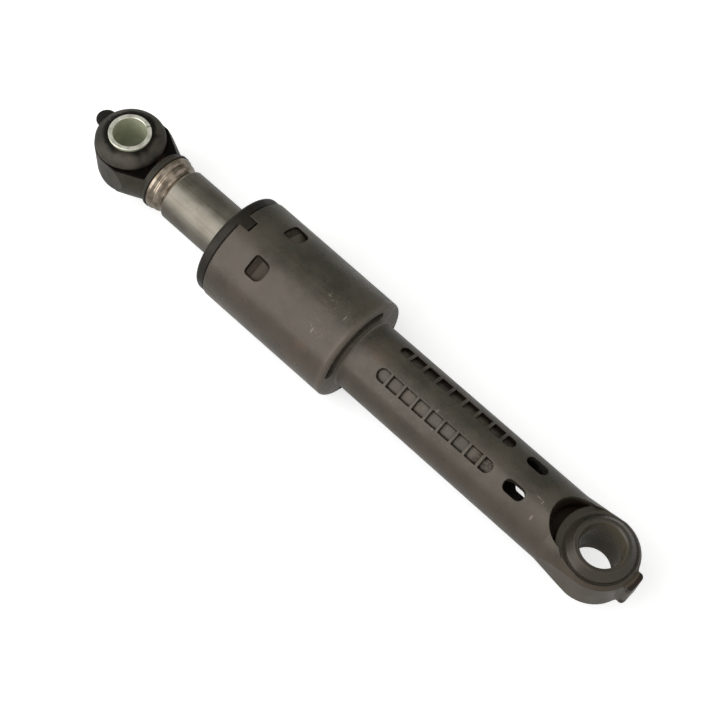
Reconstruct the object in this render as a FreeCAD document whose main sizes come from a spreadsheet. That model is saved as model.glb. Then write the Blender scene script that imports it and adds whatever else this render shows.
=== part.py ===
# A washing machine shock absorber: a plastic housing with a lower eye, a guide tube and a bell,
# and a steel rod tube that slides in it through a floating friction unit. All sizes are in mm.
# The origin is the centre of the lower bore, +X runs along the axis to the upper eye,
# and +Z runs along both bores.
import FreeCAD
import Part
import Sketcher
import math
import os
import re

# Driving sizes. Each one is a plain number with a name of its own.
SIZES = {
    "eye_spacing": 192.6,
    # running and assembly clearances
    "slide_gap": 0.08,
    "fit_gap": 0.05,
    "free_gap": 0.3,
    # lower eye
    "lower_bore_radius": 6.5,
    "lower_half_width": 10.5,
    "lead_in": 1.2,
    "lip_radius": 7.9,
    "lip_edge": 0.4,
    "dish_radius": 10.2,
    "dish_height": 8.3,
    "dish_edge": 0.5,
    "moat_width": 1.0,
    "moat_depth": 0.2,
    "rim_height": 7.5,
    "lower_eye_radius": 11.9,
    "flare_radius": 13.3,
    "flare_length": 13.0,
    "crescent_inner": 13.0,
    "crescent_outer": 8.3,
    "crescent_place": 8.0,
    "crescent_lip": 1.0,
    "crescent_floor": 3.5,
    "mouth_reach": 12.0,
    "mouth_wide": 14.0,
    "mouth_narrow": 6.4,
    "lug_proud": 2.1,
    "lug_flank": 0.9,
    "lug_width": 6.2,
    "lug_height": 12.0,
    "lug_root": 1.6,
    # guide tube with its ladder of recesses
    "rod_play": 0.8,
    "guide_wall": 2.0,
    "guide_floor": 19.0,
    "recess_depth": 1.2,
    "row_offset": 5.15,
    "row_width": 3.75,
    "ladder_place": 41.6,
    "cell_length": 4.15,
    "cell_pitch": 5.12,
    "cell_count": 7,
    "end_cell_length": 3.7,
    "slot_place": 24.8,
    "slot_length": 7.3,
    # bell
    "shoulder_place": 91.4,
    "shoulder_slope": 1.1,
    "shoulder_wall": 5.3,
    "shoulder_round": 1.3,
    "bell_length": 50.0,
    "bell_low_radius": 17.7,
    "bell_high_radius": 18.0,
    "bell_wall": 2.1,
    "hollow_margin": 1.4,
    "hollow_outer": 16.2,
    "hollow_depth": 2.8,
    "hollow_middle": 68.0,
    "hollow_half_angle": 56.0,
    "window_margin": 10.6,
    "window_length": 6.3,
    "window_offset": 8.2,
    "window_width": 6.3,
    "window_round": 2.4,
    # end cap
    "cap_length": 4.0,
    "cap_inset": 0.35,
    "cap_round": 1.2,
    "cap_plate": 2.6,
    "skirt_wall": 1.5,
    "skirt_length": 5.6,
    "hook_height": 1.75,
    "hook_flat": 2.0,
    "tongue_length": 3.7,
    "tongue_width": 4.1,
    "tongue_gap": 0.7,
    # friction unit and its buffers
    "carrier_length": 29.0,
    "carrier_radius": 13.4,
    "carrier_wall": 1.6,
    "carrier_foot_length": 5.0,
    "lining_length": 22.0,
    "lining_split": 0.8,
    "float_travel": 4.0,
    # rod tube with its rolled neck
    "rod_radius": 9.0,
    "rod_wall": 1.0,
    "rod_length": 126.0,
    "neck_reach": 16.1,
    "neck_length": 6.9,
    "bead_height": 0.5,
    "crimp_depth": 1.25,
    # guide ring on the inner end of the rod
    "guide_ring_length": 4.0,
    "guide_spigot": 10.0,
    "guide_chamfer": 0.45,
    # upper eye, rubber bush and steel sleeve
    "upper_eye_radius": 11.5,
    "upper_eye_height": 6.0,
    "upper_cone_radius": 13.1,
    "upper_neck_radius": 8.8,
    "upper_edge_round": 0.6,
    "collar_length": 0.9,
    "cone_reach": 2.7,
    "slab_reach": 2.1,
    "spigot_length": 24.0,
    "spigot_lead": 1.2,
    "bush_seat_radius": 9.3,
    "flange_radius": 11.3,
    "flange_height": 1.35,
    "flange_round": 2.5,
    "flange_edge": 0.3,
    "dome_radius": 7.9,
    "dome_height": 9.9,
    "dome_lip": 0.4,
    "nub_radius": 3.4,
    "nub_place": 11.0,
    "nub_height": 1.0,
    "sleeve_radius": 6.8,
    "sleeve_wall": 1.4,
    "sleeve_edge": 0.15,
    "sleeve_half_length": 10.75,
    "sleeve_split": 0.35,
    "sleeve_split_angle": 245.0,
}

doc = FreeCAD.newDocument("shock_absorber")
sheet = doc.addObject("Spreadsheet::Sheet", "Sizes")
for row, (word, value) in enumerate(SIZES.items(), start=1):
    sheet.set("A%d" % row, word)
    sheet.set("B%d" % row, str(value))
    sheet.setAlias("B%d" % row, word)
doc.recompute()

# Places along the axis that several pieces share, as formulas of the driving sizes.
BELL_END = "shoulder_place + bell_length"
BELL_FLOOR = "shoulder_place + shoulder_wall"
SHOULDER_EDGE = "shoulder_place + shoulder_slope"
BELL_BORE = "bell_low_radius - bell_wall"
GUIDE_BORE = "(rod_radius + rod_play)"
TUBE_RADIUS = "(rod_radius + rod_play + guide_wall)"
HOLLOW_INNER = TUBE_RADIUS + " + hollow_margin"
WINDOW_END = BELL_END + " - window_margin"
WINDOW_START = WINDOW_END + " - window_length"
CAP_FACE = BELL_END + " + cap_length"
CAP_FLOOR = CAP_FACE + " - cap_plate"
CAP_BORE = "rod_radius + slide_gap"
SKIRT_RADIUS = BELL_BORE + " - slide_gap"
TUBE_TOP = "eye_spacing - neck_reach"
TUBE_FOOT = TUBE_TOP + " - rod_length"
BORE_OF_TUBE = "rod_radius - rod_wall"
# The friction unit floats midway between its two buffers.
FLOAT_MIDDLE = "(" + BELL_FLOOR + " + " + CAP_FLOOR + ") / 2"
CARRIER_START = FLOAT_MIDDLE + " - carrier_length / 2"
CARRIER_END = FLOAT_MIDDLE + " + carrier_length / 2"
REAR_BUFFER_END = CARRIER_START + " - float_travel - free_gap"
FRONT_BUFFER_START = CARRIER_END + " + float_travel + free_gap"


def linked(formula):
    """The formula with each size written as a cell of the sheet."""
    return re.sub(r"[a-z_]{3,}", lambda found: "Sizes." + found.group(0), formula)


def number(formula):
    """The formula's value now."""
    value = sheet.evalExpression(linked(formula))
    return float(getattr(value, "Value", value))


def bind(item, prop, formula):
    """Ties one property of an object to the sheet."""
    item.setExpression(prop, linked(formula))


def new_body(name):
    """An empty body whose label names its file."""
    body = doc.addObject("PartDesign::Body", name)
    body.Label = name
    body.Placement = FreeCAD.Placement()
    return body


def new_sketch(body, plane, name, offset="0"):
    """A sketch on one of the body's own planes, moved along the plane's normal."""
    sketch = body.newObject("Sketcher::SketchObject", name)
    origin = [item for item in body.Origin.OriginFeatures if item.Role == plane][0]
    sketch.AttachmentSupport = [(origin, "")]
    sketch.MapMode = "FlatFace"
    if offset != "0":
        bind(sketch, "AttachmentOffset.Base.z", offset)
    return sketch


def hold(sketch, kind, item, point, formula):
    """One coordinate of a point, tied to the sheet."""
    value = number(formula)
    if abs(value) < 1e-9:
        axis = -2 if kind == "DistanceX" else -1
        sketch.addConstraint(Sketcher.Constraint("PointOnObject", item, point, axis))
        return
    place = sketch.addConstraint(Sketcher.Constraint(kind, -1, 1, item, point, value))
    bind(sketch, "Constraints[%d]" % place, formula)


def pin(sketch, item, point, across, up):
    """Both coordinates of a point, tied to the sheet."""
    hold(sketch, "DistanceX", item, point, across)
    hold(sketch, "DistanceY", item, point, up)


def polygon(sketch, corners):
    """A closed outline; each corner is a pair of formulas."""
    spots = [FreeCAD.Vector(number(across), number(up), 0) for across, up in corners]
    first = sketch.GeometryCount
    for spot, after in zip(spots, spots[1:] + spots[:1]):
        sketch.addGeometry(Part.LineSegment(spot, after))
    for step in range(len(spots)):
        after = first + (step + 1) % len(spots)
        sketch.addConstraint(Sketcher.Constraint("Coincident", first + step, 2, after, 1))
    for step, (across, up) in enumerate(corners):
        pin(sketch, first + step, 1, across, up)


def rectangle(sketch, left, right, low, high):
    """An upright rectangle between four formulas."""
    polygon(sketch, [(left, low), (right, low), (right, high), (left, high)])


def disc(sketch, across, up, radius):
    """A full circle."""
    centre = FreeCAD.Vector(number(across), number(up), 0)
    circle = Part.Circle(centre, FreeCAD.Vector(0, 0, 1), number(radius))
    item = sketch.addGeometry(circle)
    pin(sketch, item, 3, across, up)
    place = sketch.addConstraint(Sketcher.Constraint("Radius", item, number(radius)))
    bind(sketch, "Constraints[%d]" % place, radius)


def arc(sketch, across, up, radius, start, end, held=True):
    """An arc about a pinned centre, between two angles in degrees."""
    centre = FreeCAD.Vector(number(across), number(up), 0)
    circle = Part.Circle(centre, FreeCAD.Vector(0, 0, 1), number(radius))
    curve = Part.ArcOfCircle(circle, math.radians(start), math.radians(end))
    item = sketch.addGeometry(curve)
    pin(sketch, item, 3, across, up)
    if held:
        place = sketch.addConstraint(Sketcher.Constraint("Radius", item, number(radius)))
        bind(sketch, "Constraints[%d]" % place, radius)
    return item


def join(sketch, one, one_end, other, other_end):
    """Makes two ends one point."""
    sketch.addConstraint(Sketcher.Constraint("Coincident", one, one_end, other, other_end))


def line(sketch, start, end):
    """A free line between two points given as numbers, held later by its neighbours."""
    ends = [FreeCAD.Vector(*spot, 0) for spot in (start, end)]
    return sketch.addGeometry(Part.LineSegment(*ends))


def obround(sketch, left, right, middle, width, left_round=True, right_round=True):
    """A slot along the axis; either end is a half circle or square."""
    half = "(" + width + ") / 2"
    low = "(" + middle + ") - " + half
    high = "(" + middle + ") + " + half
    first = "(" + left + ")" + (" + " + half if left_round else "")
    last = "(" + right + ")" + (" - " + half if right_round else "")
    corners = [(number(across), number(up))
               for across, up in ((first, low), (last, low), (last, high), (first, high))]
    bottom = line(sketch, corners[0], corners[1])
    top = line(sketch, corners[2], corners[3])
    if right_round:
        right_end = arc(sketch, last, middle, half, -90, 90, held=False)
    else:
        right_end = line(sketch, corners[1], corners[2])
    if left_round:
        left_end = arc(sketch, first, middle, half, 90, 270, held=False)
    else:
        left_end = line(sketch, corners[3], corners[0])
    join(sketch, bottom, 2, right_end, 1)
    join(sketch, right_end, 2, top, 1)
    join(sketch, top, 2, left_end, 1)
    join(sketch, left_end, 2, bottom, 1)
    pin(sketch, bottom, 1, first, low)
    pin(sketch, bottom, 2, last, low)
    for point, across, is_round in ((1, last, right_round), (2, first, left_round)):
        hold(sketch, "DistanceX", top, point, across)
        if not is_round:
            hold(sketch, "DistanceY", top, point, high)


def feature(body, kind, name, sketch):
    """A PartDesign feature on a sketch."""
    made = body.newObject("PartDesign::" + kind, name)
    made.Profile = sketch
    sketch.Visibility = False
    return made


def turned(body, name, corners, kind="Revolution", about="X", plane=None, shift=None):
    """A full turn of an outline about the long axis, or about an upright axis."""
    usual = "XY_Plane" if about == "X" else "XZ_Plane"
    sketch = new_sketch(body, plane or usual, name + "_outline")
    if shift:
        bind(sketch, "AttachmentOffset.Base.x", shift)
    polygon(sketch, corners)
    made = feature(body, kind, name, sketch)
    made.ReferenceAxis = (sketch, ["H_Axis" if about == "X" else "V_Axis"])
    made.Angle = 360
    doc.recompute()
    return made


def drawn(body, name, sketch, height, kind="Pad", both_ways=True):
    """A pad or pocket of a sketch, by default half to each side."""
    made = feature(body, kind, name, sketch)
    bind(made, "Length", height)
    made.Midplane = both_ways
    doc.recompute()
    return made


def rounded(body, name, radius, wanted):
    """A fillet on the edges that the test picks."""
    base = body.Tip
    picked = []
    for place, edge in enumerate(base.Shape.Edges, start=1):
        if wanted(edge):
            picked.append("Edge%d" % place)
    made = body.newObject("PartDesign::Fillet", name)
    made.Base = (base, picked)
    bind(made, "Radius", radius)
    doc.recompute()
    return made


def near(value, formula, slack=0.02):
    """True where a number is at the formula's value."""
    return abs(value - number(formula)) < slack


def ring_at(edge, place, radius):
    """True for a circle about the long axis at a place and radius."""
    if not isinstance(edge.Curve, Part.Circle):
        return False
    centre = edge.Curve.Center
    upright = abs(abs(edge.Curve.Axis.x) - 1) < 1e-6
    return upright and near(centre.x, place) and near(edge.Curve.Radius, radius)


def level_ring(edge, middle, height, radius):
    """True for a circle about a bore axis at a height either side and a radius."""
    if not isinstance(edge.Curve, Part.Circle):
        return False
    centre = edge.Curve.Center
    upright = abs(abs(edge.Curve.Axis.z) - 1) < 1e-6
    level = near(abs(centre.z), height) and near(centre.x, middle)
    return upright and level and near(edge.Curve.Radius, radius)


# Housing: the lower eye, the guide tube and the bell are one moulding
housing = new_body("housing")
RECESS_FLOOR = TUBE_RADIUS + " - recess_depth"
LUG_REACH = "(lower_eye_radius + lug_proud)"
LUG_ROUND = "(lug_proud - lug_flank)"
CLEAR = "2 * bell_high_radius"
ACROSS = "4 * bell_high_radius"
turned(housing, "barrel", [
    ("0", "0"),
    ("0", "flare_radius"),
    ("flare_length", TUBE_RADIUS),
    ("shoulder_place", TUBE_RADIUS),
    (SHOULDER_EDGE, "bell_low_radius"),
    (BELL_END, "bell_high_radius"),
    (BELL_END, BELL_BORE),
    (BELL_FLOOR, BELL_BORE),
    (BELL_FLOOR, RECESS_FLOOR),
    ("guide_floor", RECESS_FLOOR),
    ("guide_floor", "0"),
], plane="XZ_Plane")

# The flare is cut back to the eye's width
trims = new_sketch(housing, "XY_Plane", "trims_outline")
for sign in ("", "-"):
    rectangle(trims, "-" + CLEAR, "flare_length",
              sign + "lower_eye_radius", sign + "(2 * lower_eye_radius)")
trimmed = drawn(housing, "trims", trims, ACROSS, "Pocket")
trimmed.Refine = False

# The eye is cut flat on both sides, and the cut runs out through the tube's flanks
for side, sign in (("upper", ""), ("lower", "-")):
    flat = new_sketch(housing, "XY_Plane", side + "_flat_outline",
                      sign + "(rim_height + " + CLEAR + ")")
    polygon(flat, [
        ("-" + CLEAR, "-mouth_wide"),
        ("0", "-mouth_wide"),
        ("mouth_reach", "-mouth_narrow"),
        ("mouth_reach", "mouth_narrow"),
        ("0", "mouth_wide"),
        ("-" + CLEAR, "mouth_wide"),
    ])
    drawn(housing, side + "_flat", flat, ACROSS, "Pocket")

# A sloped lip and a crescent clear the rim where the round tube stands above it
near_x = (number("crescent_inner") ** 2 - number("crescent_outer") ** 2
          + number("crescent_place") ** 2) / (2 * number("crescent_place"))
near_y = math.sqrt(number("crescent_inner") ** 2 - near_x ** 2)
inner_angle = math.degrees(math.atan2(near_y, near_x))
outer_angle = math.degrees(math.atan2(near_y, near_x - number("crescent_place")))
for side, sign in (("upper", ""), ("lower", "-")):
    turned(housing, side + "_lip", [
        ("0", sign + "(rim_height)"),
        ("crescent_outer", sign + "(rim_height)"),
        ("crescent_outer + crescent_lip", sign + TUBE_RADIUS),
        ("crescent_outer + crescent_lip", sign + CLEAR),
        ("0", sign + CLEAR),
    ], kind="Groove", about="Z", shift="crescent_place")
    moon = new_sketch(housing, "XY_Plane", side + "_moon_outline",
                      sign + "(crescent_floor + " + CLEAR + ")")
    inner = arc(moon, "0", "0", "crescent_inner", -inner_angle, inner_angle)
    outer = arc(moon, "crescent_place", "0", "crescent_outer", -outer_angle, outer_angle)
    join(moon, inner, 1, outer, 1)
    join(moon, inner, 2, outer, 2)
    drawn(housing, side + "_moon", moon, ACROSS, "Pocket")

# The eye's free half is its own cross-section, turned half round
eye_end = new_sketch(housing, "YZ_Plane", "eye_end_outline")
rim_y = math.sqrt(number("flare_radius") ** 2 - number("rim_height") ** 2)
side_z = math.sqrt(number("flare_radius") ** 2 - number("lower_eye_radius") ** 2)
low_angle = math.degrees(math.atan2(side_z, number("lower_eye_radius")))
high_angle = math.degrees(math.atan2(number("rim_height"), rim_y))
top = number("rim_height")
side = number("lower_eye_radius")
upper = arc(eye_end, "0", "0", "flare_radius", low_angle, high_angle)
lower = arc(eye_end, "0", "0", "flare_radius", -high_angle, -low_angle)
right = line(eye_end, (side, -side_z), (side, side_z))
above = line(eye_end, (rim_y, top), (0, top))
middle = line(eye_end, (0, top), (0, -top))
below = line(eye_end, (0, -top), (rim_y, -top))
join(eye_end, lower, 2, right, 1)
join(eye_end, right, 2, upper, 1)
join(eye_end, upper, 2, above, 1)
join(eye_end, above, 2, middle, 1)
join(eye_end, middle, 2, below, 1)
join(eye_end, below, 2, lower, 1)
pin(eye_end, middle, 1, "0", "rim_height")
pin(eye_end, middle, 2, "0", "-rim_height")
hold(eye_end, "DistanceY", above, 1, "rim_height")
hold(eye_end, "DistanceY", below, 2, "-rim_height")
hold(eye_end, "DistanceX", right, 1, "lower_eye_radius")
hold(eye_end, "DistanceX", right, 2, "lower_eye_radius")
end = feature(housing, "Revolution", "eye_end", eye_end)
end.ReferenceAxis = (eye_end, ["V_Axis"])
end.Angle = 180
doc.recompute()

# The boss rises from a narrow moat and slopes up to a lip round the bore
boss_half = [
    ("lower_bore_radius - lead_in", "lower_half_width"),
    ("lip_radius", "lower_half_width"),
    ("lip_radius + lip_edge", "lower_half_width - lip_edge * 0.375"),
    ("dish_radius - dish_edge * 0.7", "dish_height + dish_edge * 0.2"),
    ("dish_radius - dish_edge * 0.2", "dish_height - dish_edge * 0.3"),
    ("dish_radius", "dish_height - dish_edge"),
]
turned(housing, "boss", boss_half + [
    (radius, "-(" + height + ")") for radius, height in boss_half[::-1]], about="Z")
for side, sign in (("upper", ""), ("lower", "-")):
    turned(housing, side + "_moat", [
        ("dish_radius", sign + "(rim_height - moat_depth)"),
        ("dish_radius + moat_width * 0.3", sign + "(rim_height - moat_depth)"),
        ("dish_radius + moat_width * 0.7", sign + "(rim_height - moat_depth * 0.4)"),
        ("dish_radius + moat_width", sign + "(rim_height + moat_depth * 0.1)"),
        ("dish_radius + moat_width", sign + "(rim_height + moat_depth)"),
        ("dish_radius", sign + "(rim_height + moat_depth)"),
    ], kind="Groove", about="Z")

# A blunt lug stands on the end of the eye
lug = new_sketch(housing, "XY_Plane", "lug_outline")
rectangle(lug, "-" + LUG_REACH, "-lower_eye_radius + moat_width",
          "-lug_width / 2", "lug_width / 2")
drawn(housing, "lug", lug, "lug_height")

hole = new_sketch(housing, "XY_Plane", "lower_bore_outline")
disc(hole, "0", "0", "lower_bore_radius")
drawn(housing, "lower_bore", hole, ACROSS, "Pocket")
rounded(housing, "lead_ins", "lead_in",
        lambda edge: level_ring(edge, "0", "lower_half_width", "lower_bore_radius"))


def lug_corner(edge):
    """True for the four outer edges of the lug's face."""
    box = edge.BoundBox
    return near(box.XMin, "-" + LUG_REACH) and near(box.XMax, "-" + LUG_REACH)


def lug_side(edge):
    """True for the upright edges where the lug's sides meet the eye."""
    box = edge.BoundBox
    upright = box.XLength < 0.01 and box.YLength < 0.01 and box.ZLength > 1
    level = near(abs(box.YMin), "lug_width / 2")
    return upright and level and number(LUG_ROUND + " - " + LUG_REACH) + 0.1 < box.XMin < 0


rounded(housing, "lug_rounds", LUG_ROUND, lug_corner)
rounded(housing, "lug_roots", "lug_root", lug_side)

# Two rows of recesses run along the guide tube, above and below
LADDER_END = "ladder_place + (cell_count - 1) * cell_pitch + cell_length"
CELL_GAP = "(cell_pitch - cell_length)"
cell = new_sketch(housing, "XY_Plane", "cell_outline")
for sign in ("", "-"):
    rectangle(cell, "ladder_place", "ladder_place + cell_length",
              sign + "(row_offset - row_width / 2)", sign + "(row_offset + row_width / 2)")
first_cell = drawn(housing, "first_cell", cell, ACROSS, "Pocket")
ladder = housing.newObject("PartDesign::LinearPattern", "ladder")
ladder.Originals = [first_cell]
ladder.Direction = (cell, ["H_Axis"])
ladder.Occurrences = int(SIZES["cell_count"])
bind(ladder, "Length", "(cell_count - 1) * cell_pitch")
housing.Tip = ladder
doc.recompute()
for name, left, right, rounds in (
        ("near_cells", "ladder_place - " + CELL_GAP + " - end_cell_length",
         "ladder_place - " + CELL_GAP, (True, False)),
        ("far_cells", LADDER_END + " + " + CELL_GAP,
         LADDER_END + " + " + CELL_GAP + " + end_cell_length", (False, True))):
    ends = new_sketch(housing, "XY_Plane", name + "_outline")
    for sign in ("", "-"):
        obround(ends, left, right, sign + "row_offset", "row_width", *rounds)
    drawn(housing, name, ends, ACROSS, "Pocket")

# The bore's own wall closes the recesses again, which gives them a round floor
turned(housing, "inner_wall", [
    ("guide_floor", GUIDE_BORE),
    (BELL_FLOOR, GUIDE_BORE),
    (BELL_FLOOR, RECESS_FLOOR),
    ("guide_floor", RECESS_FLOOR),
])

# Two open slots lie between the ladder and the eye
slots = new_sketch(housing, "XY_Plane", "slots_outline")
for sign in ("", "-"):
    obround(slots, "slot_place", "slot_place + slot_length", sign + "row_offset", "row_width")
drawn(housing, "slots", slots, ACROSS, "Pocket")

# The cap's hooks show in four windows of the bell, and its tongues lie in two notches
windows = new_sketch(housing, "XY_Plane", "windows_outline")
for sign in ("", "-"):
    rectangle(windows, WINDOW_START, WINDOW_END,
              sign + "(window_offset - window_width / 2)",
              sign + "(window_offset + window_width / 2)")
drawn(housing, "windows", windows, ACROSS, "Pocket")
notch = new_sketch(housing, "XY_Plane", "notch_outline")
rectangle(notch, BELL_END + " - tongue_length", BELL_END + " + tongue_length",
          "-tongue_width / 2", "tongue_width / 2")
drawn(housing, "notches", notch, ACROSS, "Pocket")

# The shoulder is hollowed by an arc on each side
for side, middle in (("upper", SIZES["hollow_middle"]), ("lower", SIZES["hollow_middle"] + 180)):
    hollow = new_sketch(housing, "YZ_Plane", side + "_hollow_outline",
                        "shoulder_place")
    reach = number("hollow_half_angle")
    inner = arc(hollow, "0", "0", HOLLOW_INNER, middle - reach, middle + reach)
    outer = arc(hollow, "0", "0", "hollow_outer", middle - reach, middle + reach)
    for inner_end, outer_end, turn in ((1, 1, -reach), (2, 2, reach)):
        aim = math.radians(middle + turn)
        ends = [(number(size) * math.cos(aim), number(size) * math.sin(aim))
                for size in (HOLLOW_INNER, "hollow_outer")]
        edge = line(hollow, *ends)
        join(hollow, inner, inner_end, edge, 1)
        join(hollow, outer, outer_end, edge, 2)
        hollow.addConstraint(Sketcher.Constraint("Angle", edge, aim))
        hollow.addConstraint(Sketcher.Constraint("PointOnObject", -1, 1, edge))
    drawn(housing, side + "_hollow", hollow, "2 * hollow_depth", "Pocket")


def through_wall(edge, place):
    """True for the edges at a place along the axis that run through the bell's wall."""
    box = edge.BoundBox
    short = box.XLength < 0.01 and box.YLength < 0.01
    return short and near(box.XMin, place) and abs(box.ZMin + box.ZMax) > 1


def window_corner(edge):
    """True for the corners of the windows that are away from the cap."""
    return through_wall(edge, WINDOW_START)


def cap_side_corner(edge):
    """True for the corners of the windows on the cap's side."""
    return through_wall(edge, WINDOW_END)


def hollow_corner(edge):
    """True for the edges at the ends of the two hollows that run along the axis."""
    box = edge.BoundBox
    straight = box.YLength < 0.01 and box.ZLength < 0.01
    inside = number("shoulder_place") - 0.1 < box.XMin < number(SHOULDER_EDGE)
    return straight and inside and near(box.XMax, "shoulder_place + hollow_depth")


rounded(housing, "window_rounds", "window_round", window_corner)
rounded(housing, "window_corners", "window_round / 2", cap_side_corner)
rounded(housing, "hollow_ends", "(hollow_outer - (" + HOLLOW_INNER + ")) * 0.45", hollow_corner)
rounded(housing, "shoulder_edge", "shoulder_round",
        lambda edge: ring_at(edge, SHOULDER_EDGE, "bell_low_radius"))
rounded(housing, "tube_root", "shoulder_round / 2",
        lambda edge: ring_at(edge, "shoulder_place", TUBE_RADIUS))

# End cap: a ring with a skirt, four hooked arms and two tongues
end_cap = new_body("end_cap")
ARM_END = WINDOW_START + " + free_gap"
HOOK_FACE = WINDOW_END + " - free_gap"
HOOK_RADIUS = SKIRT_RADIUS + " + hook_height"
ARM_BORE = SKIRT_RADIUS + " - skirt_wall"
CAP_RADIUS = "bell_high_radius - cap_inset"
SKIRT_END = BELL_END + " - skirt_length"
turned(end_cap, "arm_ring", [
    (ARM_END, ARM_BORE),
    (ARM_END, SKIRT_RADIUS),
    (HOOK_FACE + " - hook_flat", HOOK_RADIUS),
    (HOOK_FACE, HOOK_RADIUS),
    (HOOK_FACE, SKIRT_RADIUS),
    (BELL_END + " - tongue_length + tongue_gap", SKIRT_RADIUS),
    (BELL_END + " - tongue_length + tongue_gap", CAP_RADIUS),
    (BELL_END + " + free_gap", CAP_RADIUS),
    (BELL_END + " + free_gap", ARM_BORE),
])
arms = new_sketch(end_cap, "XY_Plane", "arms_outline")
LONG = BELL_END + " - tongue_length"
rectangle(arms, ARM_END + " - skirt_wall", LONG,
          "-(window_offset - window_width / 2 + free_gap)",
          "window_offset - window_width / 2 + free_gap")
for sign in ("", "-"):
    rectangle(arms, ARM_END + " - skirt_wall", LONG,
              sign + "(window_offset + window_width / 2 - free_gap)",
              sign + CLEAR)
    rectangle(arms, LONG, BELL_END + " + skirt_wall",
              sign + "(tongue_width / 2 - slide_gap)", sign + CLEAR)
drawn(end_cap, "arms", arms, ACROSS, "Pocket")
turned(end_cap, "ring", [
    (SKIRT_END, ARM_BORE),
    (SKIRT_END, SKIRT_RADIUS),
    (BELL_END, SKIRT_RADIUS),
    (BELL_END, CAP_RADIUS),
    (CAP_FACE, CAP_RADIUS),
    (CAP_FACE, CAP_BORE),
    (CAP_FLOOR, CAP_BORE),
    (CAP_FLOOR, ARM_BORE),
])
rounded(end_cap, "cap_edge", "cap_round", lambda edge: ring_at(edge, CAP_FACE, CAP_RADIUS))

# Buffers: rubber rings that stop the friction unit softly at each end of its float
BUFFER_BORE = "rod_radius + 2 * free_gap"
front_buffer = new_body("front_buffer")
turned(front_buffer, "rubber", [
    (CAP_FLOOR + " - fit_gap", BUFFER_BORE),
    (CAP_FLOOR + " - fit_gap", ARM_BORE + " - fit_gap"),
    (FRONT_BUFFER_START, ARM_BORE + " - fit_gap"),
    (FRONT_BUFFER_START, BUFFER_BORE),
])
rear_buffer = new_body("rear_buffer")
turned(rear_buffer, "rubber", [
    (BELL_FLOOR + " + fit_gap", BUFFER_BORE),
    (BELL_FLOOR + " + fit_gap", BELL_BORE + " - fit_gap"),
    (REAR_BUFFER_END, BELL_BORE + " - fit_gap"),
    (REAR_BUFFER_END, BUFFER_BORE),
])

# Friction unit: a cage with a foot, its closing ring, and the split lining between them
LINING_START = FLOAT_MIDDLE + " - lining_length / 2"
LINING_END = FLOAT_MIDDLE + " + lining_length / 2"
CAGE_BORE = "carrier_radius - carrier_wall"
carrier = new_body("lining_carrier")
turned(carrier, "cage", [
    (CARRIER_START, "rod_radius + free_gap"),
    (CARRIER_START, BELL_BORE + " - free_gap"),
    (CARRIER_START + " + carrier_foot_length", BELL_BORE + " - free_gap"),
    (CARRIER_START + " + carrier_foot_length", "carrier_radius"),
    (CARRIER_END, "carrier_radius"),
    (CARRIER_END, CAGE_BORE),
    (LINING_START, CAGE_BORE),
    (LINING_START, "rod_radius + free_gap"),
])
carrier_ring = new_body("carrier_ring")
turned(carrier_ring, "closing_ring", [
    (LINING_END, "rod_radius + free_gap"),
    (LINING_END, CAGE_BORE + " - fit_gap"),
    (CARRIER_END, CAGE_BORE + " - fit_gap"),
    (CARRIER_END, "rod_radius + free_gap"),
])
lining = new_body("friction_lining")
turned(lining, "strip", [
    (LINING_START + " + fit_gap", "rod_radius + slide_gap"),
    (LINING_START + " + fit_gap", CAGE_BORE + " - fit_gap"),
    (LINING_END + " - fit_gap", CAGE_BORE + " - fit_gap"),
    (LINING_END + " - fit_gap", "rod_radius + slide_gap"),
])
butt = new_sketch(lining, "XY_Plane", "butt_outline", "carrier_radius")
rectangle(butt, LINING_START + " - lining_split", LINING_END + " + lining_split",
          "-lining_split / 2", "lining_split / 2")
drawn(lining, "butt", butt, "2 * carrier_radius", "Pocket")

# Rod tube: steel tube rolled into two grooves round the spigot of the upper eye
rod_tube = new_body("rod_tube")
NECK = [
    ("0", "bead_height / 2"),
    ("neck_length * 0.04", "bead_height"),
    ("neck_length * 0.17", "bead_height"),
    ("neck_length * 0.25", "bead_height * 0.4"),
    ("neck_length * 0.30", "-crimp_depth * 0.10"),
    ("neck_length * 0.35", "-crimp_depth * 0.11"),
    ("neck_length * 0.40", "0"),
    ("neck_length * 0.46", "-crimp_depth * 0.06"),
    ("neck_length * 0.55", "-crimp_depth * 0.28"),
    ("neck_length * 0.67", "-crimp_depth * 0.80"),
    ("neck_length * 0.77", "-crimp_depth"),
    ("neck_length * 0.86", "-crimp_depth * 0.60"),
    ("neck_length * 0.93", "-crimp_depth * 0.20"),
    ("neck_length", "0"),
]
outside = [(TUBE_TOP + " - " + down, "rod_radius + " + out) for down, out in NECK]
inside = [(place, radius + " - rod_wall") for place, radius in outside]
turned(rod_tube, "tube", outside + [
    (TUBE_FOOT, "rod_radius"),
    (TUBE_FOOT, BORE_OF_TUBE),
] + inside[::-1])

# Rod guide: a ring on the inner end of the tube, held by its own spigot
rod_guide = new_body("rod_guide")
GUIDE_START = TUBE_FOOT + " - guide_ring_length"
GUIDE_RADIUS = GUIDE_BORE + " - slide_gap"
GUIDE_SPIGOT = BORE_OF_TUBE + " - slide_gap"
SPIGOT_END = TUBE_FOOT + " + guide_spigot"
turned(rod_guide, "guide", [
    (GUIDE_START, "0"),
    (GUIDE_START, GUIDE_RADIUS + " - guide_chamfer"),
    (GUIDE_START + " + guide_chamfer", GUIDE_RADIUS),
    (TUBE_FOOT + " - fit_gap", GUIDE_RADIUS),
    (TUBE_FOOT + " - fit_gap", GUIDE_SPIGOT),
    (SPIGOT_END + " - guide_chamfer", GUIDE_SPIGOT),
    (SPIGOT_END, GUIDE_SPIGOT + " - guide_chamfer"),
    (SPIGOT_END, "0"),
])

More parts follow.
